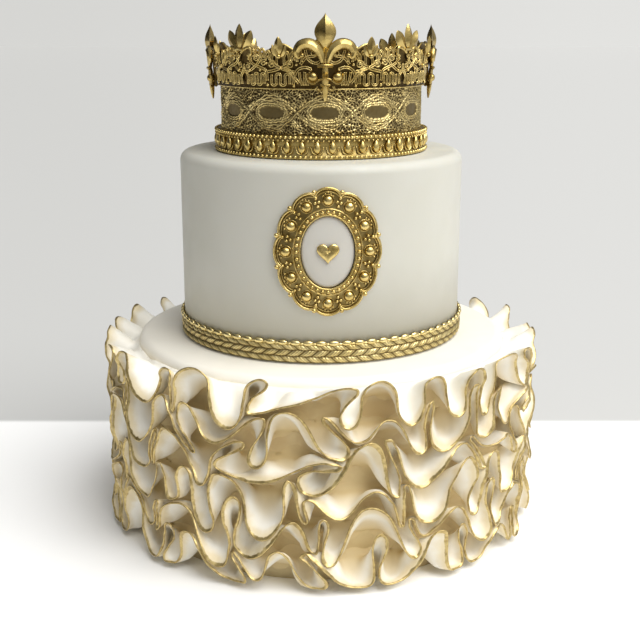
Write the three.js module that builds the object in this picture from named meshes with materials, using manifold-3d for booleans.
// Princess cake of two round tiers. The lower tier is wrapped in gathered icing ruffles, the upper
// tier has a plaited border and an oval brooch, and a crown of gold filigree stands on top.
// Millimetres, +Z up, front towards -Y, origin at the middle of the underside.

import * as THREE from "three";
import { mergeVertices } from "three/addons/utils/BufferGeometryUtils.js";
import Module from "manifold-3d";

const wasm = await Module();
wasm.setup();

// Driving dimensions of the two tiers
const LOWER_RADIUS = 101.6;
const LOWER_HEIGHT = 105;
const UPPER_RADIUS = 76;
const UPPER_HEIGHT = 99.1;
const TIER_EDGE_ROUND = 5;
const TIER_SIDES = 54;
const GAP = 0.3;

// Gathered ruffles: rows of thin icing sheet that fan out from the lower tier
const RUFFLE_ROWS = 6;
const RUFFLE_LOWEST = 11;
const RUFFLE_HIGHEST = 99;
const RUFFLE_FLOOR = 4;
const RUFFLE_CEILING = 118;
const RUFFLE_SHOULDER = 100;
const RUFFLE_SETTLING = 0.65;
const RUFFLE_REAR_DROP = 7;
const RUFFLE_DROP_FOOT = 60;
const RUFFLE_DEPTH = 19.5;
const RUFFLE_SHORTENING = 0.2;
const RUFFLE_THICKNESS = 0.8;
const RUFFLE_FULLNESS = 3;
const RUFFLE_UNEVENNESS = 0.3;
const RUFFLE_CLEARANCE = 2.9;
const RUFFLE_STIFFNESS = 1.2;
const RUFFLE_SEED = 1;
const RUFFLE_STATIONS = 133;

// Plaited border round the foot of the upper tier
const BRAID_HEIGHT = 12.2;
const BRAID_THICKNESS = 2.2;
const BRAID_SCALLOPS = 36;

// Oval brooch on the upper tier
const BROOCH_TURN = 2.5;
const BROOCH_HEIGHT = 162.5;
const BROOCH_OUTER = [26.2, 31.6];
const BROOCH_INNER = [13.2, 18.0];
const BROOCH_RELIEF = 4.2;
const BROOCH_LOBES = 12;
const PLAQUE_RELIEF = 1.7;
const HEART_WIDTH = 11;
const HEART_RELIEF = 1.2;

// Crown: a lace band with a beaded foot ring, a flaring filigree gallery and lily ornaments
const CROWN_TURN = 2;
const LACE_RADIUS = 53.5;
const LACE_WALL = 1.8;
const LACE_TOP = 241;
const LACE_WINDOWS = 12;
const FOOT_RADIUS = 57.2;
const FOOT_HEIGHT = 12.1;
const FOOT_BEADS = 46;
const GALLERY_BOTTOM = 238.2;
const GALLERY_TOP = 257;
const GALLERY_SCALLOP = 4.5;
const GALLERY_FOOT_RADIUS = 55.4;
const GALLERY_RIM_RADIUS = 56.8;
const GALLERY_WALL = 1.5;
const GALLERY_PANELS = 16;
const PANEL_RECESS = 0.8;
const FRONT_LILY_TIP = 275.2;
const FRONT_LILY_FOOT = 233.2;
const SIDE_LILY_TIP = 269.8;
const SIDE_LILY_FOOT = 231.2;
const LILY_COLLAR_SHARE = 0.405;
const SMALL_LILY_TIP = 270;
const BUD_TIP = 264;
const ORNAMENT_REAR_DROP = 7.5;
const GALLERY_REAR_DROP = 5.5;

const WHITE_ICING = new THREE.MeshStandardMaterial({ color: "#f4f0e6", roughness: 0.6, metalness: 0 });
const IVORY_ICING = new THREE.MeshStandardMaterial({ color: "#efe4c8", roughness: 0.55, metalness: 0 });
const GOLD = new THREE.MeshStandardMaterial({ color: "#b8964c", roughness: 0.35, metalness: 0.9 });
const PLAQUE_WHITE = new THREE.MeshStandardMaterial({ color: "#e9e6dd", roughness: 0.5, metalness: 0 });

const LOWER_TOP = LOWER_HEIGHT;
const UPPER_BOTTOM = LOWER_TOP + GAP;
const UPPER_TOP = UPPER_BOTTOM + UPPER_HEIGHT;
const CROWN_BOTTOM = UPPER_TOP + GAP;
const TAU = 2 * Math.PI;

const cake = new THREE.Group();

function addMesh(name, geometry, material, turnDegrees = 0) {
  const mesh = new THREE.Mesh(geometry, material);
  mesh.name = name;
  mesh.rotation.z = THREE.MathUtils.degToRad(turnDegrees);
  cake.add(mesh);
}

// Seeded random numbers from 0 to 1
function randomSource(seed) {
  let state = seed;
  return () => {
    state = (state + 0x6d2b79f5) >>> 0;
    let mixed = Math.imul(state ^ (state >>> 15), state | 1);
    mixed = (mixed + Math.imul(mixed ^ (mixed >>> 7), mixed | 61)) >>> 0;
    return ((mixed ^ (mixed >>> 14)) >>> 0) / 4294967296;
  };
}

// A point on a ring: the turn starts at the front and grows towards +X
function onRing(turn, radius, height) {
  return new THREE.Vector3(radius * Math.sin(turn), -radius * Math.cos(turn), height);
}

function solidOf(triangles) {
  const geometry = new THREE.BufferGeometry().setFromPoints(triangles.flat());
  return mergeVertices(geometry, 1e-4);
}

// A closed loop of closed sections with equally many points. Quads whose section edge is listed
// in `mirrored` are split along the other diagonal.
function loopOfSections(sections, mirrored = []) {
  const triangles = [];
  sections.forEach((section, i) => {
    const next = sections[(i + 1) % sections.length];
    section.forEach((a, k) => {
      const other = (k + 1) % section.length;
      const b = section[other];
      const c = next[k];
      const d = next[other];
      if (mirrored.includes(k)) triangles.push([a, c, d], [a, d, b]);
      else triangles.push([a, c, b], [b, c, d]);
    });
  });
  return solidOf(triangles);
}

function ringOfProfiles(count, profileAt) {
  const sections = [];
  for (let i = 0; i < count; i++) {
    const turn = (TAU * i) / count;
    sections.push(profileAt(turn, i).map(([radius, height]) => onRing(turn, radius, height)));
  }
  return loopOfSections(sections);
}

function revolved(profile, segments) {
  const points = profile.map(([radius, height]) => new THREE.Vector2(radius, height));
  return new THREE.LatheGeometry(points, segments);
}

// Bends a flat ornament, drawn with x to the right, y up and z outwards, round the cake's axis
function bent(geometry, radiusAt) {
  const position = geometry.attributes.position;
  for (let i = 0; i < position.count; i++) {
    const height = position.getY(i);
    const radius = radiusAt(height);
    const point = onRing(position.getX(i) / radius, radius + position.getZ(i), height);
    position.setXYZ(i, point.x, point.y, point.z);
  }
  return geometry;
}

function toManifold(geometry) {
  const bare = geometry.clone();
  bare.deleteAttribute("normal");
  bare.deleteAttribute("uv");
  const merged = mergeVertices(bare, 1e-4);
  const corners = [];
  for (let i = 0; i < merged.index.count; i += 3) {
    const [a, b, c] = [0, 1, 2].map((k) => merged.index.getX(i + k));
    if (a !== b && b !== c && c !== a) corners.push(a, b, c);
  }
  return new wasm.Manifold(new wasm.Mesh({
    numProp: 3,
    vertProperties: new Float32Array(merged.attributes.position.array),
    triVerts: new Uint32Array(corners),
  }));
}

function joined(geometries) {
  const whole = geometries.map(toManifold).reduce((sum, part) => sum.add(part)).getMesh();
  const geometry = new THREE.BufferGeometry();
  geometry.setAttribute("position", new THREE.BufferAttribute(whole.vertProperties, 3));
  geometry.setIndex(new THREE.BufferAttribute(whole.triVerts, 1));
  return geometry;
}

// Tiers
function tier(radius, bottom, height) {
  const profile = [[0, bottom], [radius, bottom], [radius, bottom + height - TIER_EDGE_ROUND]];
  for (let step = 1; step <= 3; step++) {
    const bend = (step / 3) * (Math.PI / 2);
    const inset = TIER_EDGE_ROUND * (1 - Math.cos(bend));
    profile.push([radius - inset, bottom + height - TIER_EDGE_ROUND * (1 - Math.sin(bend))]);
  }
  profile.push([0, bottom + height]);
  return revolved(profile, TIER_SIDES).rotateX(Math.PI / 2);
}

// Ruffles. Each row starts as a nearly straight line round the tier and gets longer as it fans out,
// like gathered cloth: it buckles into waves, bends stiffly and never touches itself or another row.
// The curves are worked out on the unrolled tier, with `along` for the way round and `up` for the height.
const CURVE_POINTS = 640;
const GROWTH_STEPS = 140;
const SETTLING_PASSES = 10;
const UNROLLED_RADIUS = 112;
const ROUND_LENGTH = TAU * UNROLLED_RADIUS;
const WAVES = 28;
const LEAST_WAVES = 0.4 * WAVES;
const MOST_WAVES = 1.8 * WAVES;
const SHARED_WAVE_HEIGHT = 1.2;
const OWN_WAVE_HEIGHT = 3;
const WAVE_DRIFT = 0.04;
const HOME_PULL = 0.004;
const GROWTH_POWER = 1.9;
const BENDING_REACH = 24;
const PAIR_MARGIN = 1.5;
const LEAST_ANGLE = 0.01;

// A sum of sine waves of random size, about 1 high, with one wave for each of the counts round the tier
function randomWaves(random, counts) {
  const terms = counts.map((count) => ({
    count,
    size: (0.5 + random()) / Math.sqrt(counts.length),
    phase: random() * TAU,
  }));
  return (turn) => terms.reduce((sum, { count, size, phase }) => sum + size * Math.sin(count * turn + phase), 0);
}

const WAVE_COUNTS = Array.from({ length: 9 }, (_, k) => (
  Math.round(THREE.MathUtils.lerp(LEAST_WAVES, MOST_WAVES, k / 8))
));
const FULLNESS_COUNTS = [5, 8, 11, 14, 17];

// Weights that smooth a curve as its bending stiffness does
function bendingWeights() {
  const weights = [];
  for (let j = 0; j <= BENDING_REACH; j++) {
    let weight = 0;
    for (let k = 0; k < CURVE_POINTS; k++) {
      const wave = 2 * Math.sin((Math.PI * k) / CURVE_POINTS);
      weight += Math.cos((TAU * j * k) / CURVE_POINTS) / (1 + RUFFLE_STIFFNESS * wave ** 4);
    }
    weights.push(weight);
  }
  const sum = weights[0] + 2 * weights.slice(1).reduce((total, weight) => total + weight, 0);
  return weights.map((weight) => weight / sum);
}

function startCurves() {
  const random = randomSource(RUFFLE_SEED);
  const shared = randomWaves(random, WAVE_COUNTS);
  const points = [];
  for (let row = 0; row < RUFFLE_ROWS; row++) {
    const own = randomWaves(random, WAVE_COUNTS);
    const home = THREE.MathUtils.lerp(RUFFLE_LOWEST, RUFFLE_HIGHEST, row / (RUFFLE_ROWS - 1));
    for (let j = 0; j < CURVE_POINTS; j++) {
      const turn = (TAU * j) / CURVE_POINTS;
      const lift = SHARED_WAVE_HEIGHT * shared(turn + WAVE_DRIFT * row) + OWN_WAVE_HEIGHT * own(turn);
      points.push({ row, j, turn, home, along: UNROLLED_RADIUS * turn, up: home + lift });
    }
  }
  for (let row = 0; row < RUFFLE_ROWS; row++) {
    const fuller = randomWaves(random, FULLNESS_COUNTS);
    for (const point of points.slice(row * CURVE_POINTS, (row + 1) * CURVE_POINTS)) {
      point.fullness = RUFFLE_FULLNESS * (1 + RUFFLE_UNEVENNESS * fuller(point.turn));
    }
  }
  return points;
}

// The neighbour `step` places on in the same row, and how far the row's seam shifts it
function neighbour(points, point, step) {
  const j = point.j + step;
  const wrapped = (j + CURVE_POINTS) % CURVE_POINTS;
  return [points[point.row * CURVE_POINTS + wrapped], ((j - wrapped) / CURVE_POINTS) * ROUND_LENGTH];
}

function bendStiffly(points, weights) {
  const smooth = points.map((point) => {
    let along = 0;
    let up = 0;
    for (let k = -BENDING_REACH; k <= BENDING_REACH; k++) {
      const [other, shift] = neighbour(points, point, k);
      along += weights[Math.abs(k)] * (other.along + shift);
      up += weights[Math.abs(k)] * other.up;
    }
    return [along, up + HOME_PULL * (point.home - up)];
  });
  points.forEach((point, i) => [point.along, point.up] = smooth[i]);
}

function movePoints(points, moves, share) {
  points.forEach((point, i) => {
    point.along += share * moves[i][0];
    point.up += share * moves[i][1];
  });
}

function addPush(moves, first, second, along, up, amount) {
  moves[first][0] -= along * amount;
  moves[first][1] -= up * amount;
  moves[second][0] += along * amount;
  moves[second][1] += up * amount;
}

function indexOf(point) {
  return point.row * CURVE_POINTS + point.j;
}

// Brings neighbours to their distance, which has grown by `share` of the way to the full length
function holdLengths(points, share) {
  const moves = points.map(() => [0, 0]);
  for (const point of points) {
    const [after, shift] = neighbour(points, point, 1);
    const along = after.along + shift - point.along;
    const up = after.up - point.up;
    const distance = Math.hypot(along, up);
    const spacing = (ROUND_LENGTH / CURVE_POINTS) * (1 + (point.fullness - 1) * share);
    addPush(moves, indexOf(point), indexOf(after), along, up, (0.5 * (spacing - distance)) / distance);
  }
  movePoints(points, moves, 0.8);
}

// The way from one point to another, the shorter way round
function between(point, other) {
  const along = other.along - point.along;
  return [along - ROUND_LENGTH * Math.round(along / ROUND_LENGTH), other.up - point.up];
}

// Pairs of points from different stretches that lie near each other
function nearPairs(points, share) {
  const reach = RUFFLE_CLEARANCE + PAIR_MARGIN;
  const spacing = (ROUND_LENGTH / CURVE_POINTS) * (1 + (RUFFLE_FULLNESS - 1) * share);
  const columns = Math.floor(ROUND_LENGTH / reach);
  const cells = new Map();
  const cellOf = (point) => {
    const turned = ((point.along % ROUND_LENGTH) + ROUND_LENGTH) % ROUND_LENGTH;
    return [Math.floor((turned / ROUND_LENGTH) * columns) % columns, Math.floor(point.up / reach)];
  };
  for (const point of points) {
    const key = cellOf(point).join();
    if (!cells.has(key)) cells.set(key, []);
    cells.get(key).push(point);
  }
  const skipped = Math.ceil((2.2 * RUFFLE_CLEARANCE) / spacing);
  const pairs = [];
  for (const point of points) {
    const [column, level] = cellOf(point);
    for (let c = -1; c <= 1; c++) {
      for (let l = -1; l <= 1; l++) {
        const key = [(column + c + columns) % columns, level + l].join();
        for (const other of cells.get(key) ?? []) {
          const apart = Math.abs(other.j - point.j);
          const beside = other.row === point.row && Math.min(apart, CURVE_POINTS - apart) <= skipped;
          if (indexOf(other) <= indexOf(point) || beside) continue;
          if (Math.hypot(...between(point, other)) < reach) pairs.push([point, other]);
        }
      }
    }
  }
  return pairs;
}

function keepApart(points, pairs) {
  const moves = points.map(() => [0, 0]);
  for (const [point, other] of pairs) {
    const [along, up] = between(point, other);
    const distance = Math.hypot(along, up);
    if (distance < RUFFLE_CLEARANCE) {
      const amount = (0.5 * (RUFFLE_CLEARANCE - distance)) / distance;
      addPush(moves, indexOf(point), indexOf(other), along, up, amount);
    }
  }
  movePoints(points, moves, 0.6);
  for (const point of points) point.up = THREE.MathUtils.clamp(point.up, RUFFLE_FLOOR, RUFFLE_CEILING);
}

function snapshot(points) {
  return points.map(({ along, up }) => [along, up]);
}

// The curves at the tier's side and at the free edge
function growRuffles() {
  const points = startCurves();
  const weights = bendingWeights();
  const root = snapshot(points);
  for (let step = 1; step <= GROWTH_STEPS; step++) {
    const share = (step / GROWTH_STEPS) ** GROWTH_POWER;
    const pairs = nearPairs(points, share);
    for (let pass = 0; pass < SETTLING_PASSES; pass++) {
      bendStiffly(points, weights);
      for (let repeat = 0; repeat < 3; repeat++) holdLengths(points, share);
      keepApart(points, pairs);
    }
  }
  return [root, snapshot(points)];
}

// Stations along a row's free edge, closer together where it bends more
function stationsAlong(edge) {
  const weightAt = edge.map((point, j) => {
    const before = edge[(j + CURVE_POINTS - 1) % CURVE_POINTS];
    const after = edge[(j + 1) % CURVE_POINTS];
    const into = Math.atan2(point[1] - before[1], point[0] - before[0]);
    const out = Math.atan2(after[1] - point[1], after[0] - point[0]);
    const angle = Math.abs(Math.atan2(Math.sin(out - into), Math.cos(out - into)));
    return Math.sqrt(angle + LEAST_ANGLE);
  });
  const total = weightAt.reduce((sum, weight) => sum + weight, 0);
  const stations = [];
  let passed = 0;
  weightAt.forEach((weight, j) => {
    passed += weight;
    if (passed * RUFFLE_STATIONS >= total * (stations.length + 0.5)) stations.push(j);
  });
  return stations;
}

// How far the free edge reaches out: a little less here and there
function reachAt(along, up) {
  const turn = along / UNROLLED_RADIUS;
  const dip = Math.sin(19 * turn + 0.1 * up) * Math.sin(0.13 * up - 5 * turn);
  return RUFFLE_DEPTH * (1 - RUFFLE_SHORTENING * (0.5 - 0.5 * dip));
}

// The unit vector from one point of the unrolled tier to another, the shorter way round
function heading(from, to) {
  const along = to[0] - from[0];
  return new THREE.Vector2(along - ROUND_LENGTH * Math.round(along / ROUND_LENGTH), to[1] - from[1]).normalize();
}

// A curve's points, each with its two sides half the sheet's thickness away
function thickened(curve) {
  return curve.map((point, k) => {
    const into = heading(curve.at(k - 1), point);
    const out = heading(point, curve[(k + 1) % curve.length]);
    const { x, y } = into.add(out).setLength(RUFFLE_THICKNESS / 2);
    return { below: [point[0] + y, point[1] - x], above: [point[0] - y, point[1] + x] };
  });
}

// The height at which a point comes to rest: the highest folds sink a little, more so at the back
function settled(along, up) {
  const sunk = up > RUFFLE_SHOULDER ? RUFFLE_SHOULDER + RUFFLE_SETTLING * (up - RUFFLE_SHOULDER) : up;
  const rear = 0.5 - 0.5 * Math.cos(along / UNROLLED_RADIUS);
  return sunk - RUFFLE_REAR_DROP * rear * THREE.MathUtils.smoothstep(up, RUFFLE_DROP_FOOT, RUFFLE_SHOULDER);
}

// One row: a wavy sheet that reaches from the tier's side to its free edge
function ruffle(stages, row) {
  const [root, edge] = stages.map((stage) => stage.slice(row * CURVE_POINTS, (row + 1) * CURVE_POINTS));
  const stations = stationsAlong(edge);
  const rest = ([along, up]) => [along, settled(along, up)];
  const roots = thickened(stations.map((j) => rest(root[j])));
  const edges = thickened(stations.map((j) => rest(edge[j])));
  const sections = stations.map((j, k) => {
    const reach = reachAt(...edge[j]);
    const place = ([along, up], out) => onRing(along / UNROLLED_RADIUS, LOWER_RADIUS + GAP + out, up);
    return [
      place(roots[k].below, 0),
      place(edges[k].below, reach),
      place(edges[k].above, reach),
      place(roots[k].above, 0),
    ];
  });
  return loopOfSections(sections, [2]);
}

// Plaited border with a scalloped upper edge
function braidBorder() {
  const inner = UPPER_RADIUS + GAP;
  const outer = inner + BRAID_THICKNESS;
  const bottom = LOWER_TOP + GAP;
  return ringOfProfiles(2 * BRAID_SCALLOPS, (turn, i) => {
    const high = i % 2;
    const bulge = 0.5 * high;
    return [
      [inner, bottom],
      [outer - 0.5, bottom],
      [outer - bulge, bottom + 0.38 * BRAID_HEIGHT],
      [outer - 0.5 + bulge, bottom + 0.78 * BRAID_HEIGHT],
      [inner, bottom + BRAID_HEIGHT - 1.2 * (1 - high)],
    ];
  });
}

// Brooch: a lobed oval frame round a plaque with a small heart
function broochFrame() {
  const count = 6 * BROOCH_LOBES;
  const sections = [];
  for (let i = 0; i < count; i++) {
    const angle = (TAU * i) / count;
    const lobe = Math.abs(Math.cos((BROOCH_LOBES / 2) * angle));
    const at = (share, relief) => {
      const wide = THREE.MathUtils.lerp(BROOCH_INNER[0], BROOCH_OUTER[0], share);
      const tall = THREE.MathUtils.lerp(BROOCH_INNER[1], BROOCH_OUTER[1], share);
      return new THREE.Vector3(wide * Math.cos(angle), tall * Math.sin(angle) + BROOCH_HEIGHT, relief);
    };
    const rim = 0.9 + 0.1 * lobe;
    sections.push([at(0, 0), at(rim, 0), at(rim, 0.5 * BROOCH_RELIEF),
      at(0.62, BROOCH_RELIEF * (0.75 + 0.25 * lobe)), at(0, 0.6 * BROOCH_RELIEF)]);
  }
  return bent(loopOfSections(sections), () => UPPER_RADIUS + GAP);
}

function broochPlaque() {
  const profile = [[0, 0], [1, 0], [1, 0.6], [0.86, 1], [0, 1]];
  const plaque = revolved(profile, 36).rotateX(Math.PI / 2);
  plaque.scale(BROOCH_INNER[0] - GAP, BROOCH_INNER[1] - GAP, PLAQUE_RELIEF);
  return bent(plaque.translate(0, BROOCH_HEIGHT, 0), () => UPPER_RADIUS + GAP);
}

function broochHeart() {
  const half = HEART_WIDTH / 2;
  const shape = new THREE.Shape();
  shape.moveTo(0, -1.15 * half);
  shape.bezierCurveTo(0.55 * half, -0.55 * half, half, -0.2 * half, half, 0.4 * half);
  shape.bezierCurveTo(half, 1.1 * half, 0.15 * half, 1.1 * half, 0, 0.45 * half);
  shape.bezierCurveTo(-0.15 * half, 1.1 * half, -half, 1.1 * half, -half, 0.4 * half);
  shape.bezierCurveTo(-half, -0.2 * half, -0.55 * half, -0.55 * half, 0, -1.15 * half);
  const heart = new THREE.ExtrudeGeometry(shape, { depth: HEART_RELIEF, bevelEnabled: false, curveSegments: 5 });
  return bent(heart.translate(0, BROOCH_HEIGHT, 0), () => UPPER_RADIUS + 2 * GAP + PLAQUE_RELIEF);
}

// Crown's lace band with smooth oval windows let into it
function laceBand() {
  const inner = LACE_RADIUS - LACE_WALL;
  const middle = (CROWN_BOTTOM + FOOT_HEIGHT + GALLERY_BOTTOM) / 2;
  return ringOfProfiles(3 * LACE_WINDOWS, (turn, i) => {
    const sunk = i % 3 === 0 ? 0.9 : 0;
    return [
      [inner, CROWN_BOTTOM],
      [LACE_RADIUS, CROWN_BOTTOM],
      [LACE_RADIUS, middle - 6],
      [LACE_RADIUS - sunk, middle],
      [LACE_RADIUS, LACE_TOP],
      [inner, LACE_TOP],
    ];
  });
}

// Foot ring with a beaded rim above and below and upright beads between
function footRing() {
  const inner = LACE_RADIUS + GAP;
  return ringOfProfiles(2 * FOOT_BEADS, (turn, i) => {
    const bead = i % 2;
    return [
      [inner, CROWN_BOTTOM],
      [FOOT_RADIUS, CROWN_BOTTOM],
      [FOOT_RADIUS - 1.6 + 1.5 * bead, CROWN_BOTTOM + 0.5 * FOOT_HEIGHT],
      [FOOT_RADIUS, CROWN_BOTTOM + 0.92 * FOOT_HEIGHT],
      [inner, CROWN_BOTTOM + FOOT_HEIGHT],
    ];
  });
}

// How far a turn lies towards the back: 0 on the front half, 1 at the very back
function rearward(turn) {
  return Math.max(0, -Math.cos(turn));
}

function galleryRadius(height) {
  const share = (height - GALLERY_BOTTOM) / (GALLERY_TOP - GALLERY_BOTTOM);
  return THREE.MathUtils.lerp(GALLERY_FOOT_RADIUS, GALLERY_RIM_RADIUS, share);
}

// Gallery: a flaring wall that stands higher at each ornament and is sunk a little between them
function gallery() {
  return ringOfProfiles(4 * GALLERY_PANELS, (turn, i) => {
    const high = 0.5 + 0.5 * Math.cos((TAU * i) / 4);
    const top = GALLERY_TOP + GALLERY_SCALLOP * high - GALLERY_REAR_DROP * rearward(turn);
    const at = (height, inset) => [galleryRadius(height) - inset, height];
    return [
      at(GALLERY_BOTTOM, GALLERY_WALL),
      at(GALLERY_BOTTOM, 0),
      at(GALLERY_BOTTOM + 6, 0),
      at(GALLERY_BOTTOM + 12, PANEL_RECESS * (1 - high)),
      at(top, 0),
      at(top, GALLERY_WALL),
    ];
  });
}

// A petal that tapers and bends along a curve, closed by a point at each end
function petal(curve, steps, sides, halfWidthAt, flatness) {
  const frames = curve.computeFrenetFrames(steps, false);
  const rings = [];
  for (let i = 1; i < steps; i++) {
    const centre = curve.getPointAt(i / steps);
    const across = new THREE.Vector3(0, 0, 1).cross(frames.tangents[i]).normalize();
    const ring = [];
    for (let k = 0; k < sides; k++) {
      const angle = (TAU * (k + 0.5)) / sides;
      const width = halfWidthAt(i / steps);
      const offset = across.clone().multiplyScalar(width * Math.cos(angle));
      ring.push(centre.clone().add(offset).add(new THREE.Vector3(0, 0, flatness * width * Math.sin(angle))));
    }
    rings.push(ring);
  }
  const triangles = [];
  const start = curve.getPointAt(0);
  const end = curve.getPointAt(1);
  for (let k = 0; k < sides; k++) {
    const next = (k + 1) % sides;
    triangles.push([start, rings[0][next], rings[0][k]]);
    triangles.push([end, rings.at(-1)[k], rings.at(-1)[next]]);
    for (let i = 0; i + 1 < rings.length; i++) {
      triangles.push([rings[i][k], rings[i][next], rings[i + 1][k]]);
      triangles.push([rings[i][next], rings[i + 1][next], rings[i + 1][k]]);
    }
  }
  return solidOf(triangles);
}

function straight(from, to) {
  return new THREE.LineCurve3(new THREE.Vector3(...from), new THREE.Vector3(...to));
}

const onion = (share) => 5.3 * Math.sin(Math.PI * share ** 0.85) ** 0.8;
const spindle = (width) => (share) => width * Math.sin(Math.PI * share) ** 0.7;

// Large lily: an onion-shaped middle petal, two curling side petals, a collar, two balls and a stem
function largeLily(tip, foot) {
  const depth = 2.6;
  const collar = THREE.MathUtils.lerp(foot, tip, LILY_COLLAR_SHARE);
  const curl = (side) => new THREE.CatmullRomCurve3([
    [0.6, collar + 1], [2.2, collar + 6], [6.2, collar + 10.5], [11, collar + 11.2],
    [14.4, collar + 8], [13.6, collar + 4.6],
  ].map(([x, y]) => new THREE.Vector3(side * x, y, depth)));
  const parts = [
    petal(straight([0, collar + 7, depth], [0, tip, depth]), 5, 6, onion, 0.55),
    petal(straight([0, foot, depth], [0, collar + 12, depth]), 4, 5, spindle(1.7), 1),
    petal(curl(1), 6, 5, spindle(2.3), 0.9),
    petal(curl(-1), 6, 5, spindle(2.3), 0.9),
    new THREE.IcosahedronGeometry(1, 0).scale(3.2, 1.6, 2.4).translate(0, collar, depth),
    petal(straight([-6, collar - 5.2, depth], [6, collar - 5.2, depth]), 2, 4, spindle(1.2), 1),
    new THREE.IcosahedronGeometry(2.5, 0).translate(-5.6, collar - 5.2, depth),
    new THREE.IcosahedronGeometry(2.5, 0).translate(5.6, collar - 5.2, depth),
  ];
  return bent(joined(parts), (height) => galleryRadius(height) + GAP);
}

function smallLily() {
  const depth = 1.6;
  const foot = GALLERY_TOP - 3;
  const tip = SMALL_LILY_TIP;
  const parts = [
    petal(straight([0, foot, depth], [0, tip, depth]), 4, 5, spindle(2.5), 0.55),
    petal(straight([1, foot + 1, depth], [6.4, tip - 3.4, depth]), 3, 4, spindle(2.1), 0.6),
    petal(straight([-1, foot + 1, depth], [-6.4, tip - 3.4, depth]), 3, 4, spindle(2.1), 0.6),
  ];
  return bent(joined(parts), (height) => galleryRadius(height) + GAP);
}

function bud() {
  const depth = 1.5;
  const stalk = petal(straight([0, GALLERY_TOP - 4, depth], [0, BUD_TIP, depth]), 4, 5, spindle(2.3), 0.55);
  return bent(stalk, (height) => galleryRadius(height) + GAP);
}

addMesh("lower_tier", tier(LOWER_RADIUS, 0, LOWER_HEIGHT), WHITE_ICING);
addMesh("upper_tier", tier(UPPER_RADIUS, UPPER_BOTTOM, UPPER_HEIGHT), WHITE_ICING);

const ruffleStages = growRuffles();
for (let row = 0; row < RUFFLE_ROWS; row++) {
  addMesh(`ruffle_row_${row + 1}`, ruffle(ruffleStages, row), IVORY_ICING);
}

addMesh("braid_border", braidBorder(), GOLD);
addMesh("brooch_frame", broochFrame(), GOLD, BROOCH_TURN);
addMesh("brooch_plaque", broochPlaque(), PLAQUE_WHITE, BROOCH_TURN);
addMesh("brooch_heart", broochHeart(), GOLD, BROOCH_TURN);

addMesh("crown_lace_band", laceBand(), GOLD, CROWN_TURN);
addMesh("crown_foot_ring", footRing(), GOLD, CROWN_TURN);
addMesh("crown_gallery", gallery(), GOLD, CROWN_TURN);

function addOrnament(name, geometry, turnDegrees) {
  const drop = ORNAMENT_REAR_DROP * rearward(THREE.MathUtils.degToRad(turnDegrees));
  addMesh(name, geometry.translate(0, 0, -drop), GOLD, CROWN_TURN + turnDegrees);
}

for (let quarter = 0; quarter < 4; quarter++) {
  const turn = 90 * quarter;
  const [tip, foot] = quarter === 0 ? [FRONT_LILY_TIP, FRONT_LILY_FOOT] : [SIDE_LILY_TIP, SIDE_LILY_FOOT];
  addOrnament(`crown_large_lily_${quarter + 1}`, largeLily(tip, foot), turn);
  addOrnament(`crown_small_lily_${quarter + 1}`, smallLily(), turn + 45);
  addOrnament(`crown_bud_${2 * quarter + 1}`, bud(), turn + 22.5);
  addOrnament(`crown_bud_${2 * quarter + 2}`, bud(), turn + 67.5);
}

export default cake;
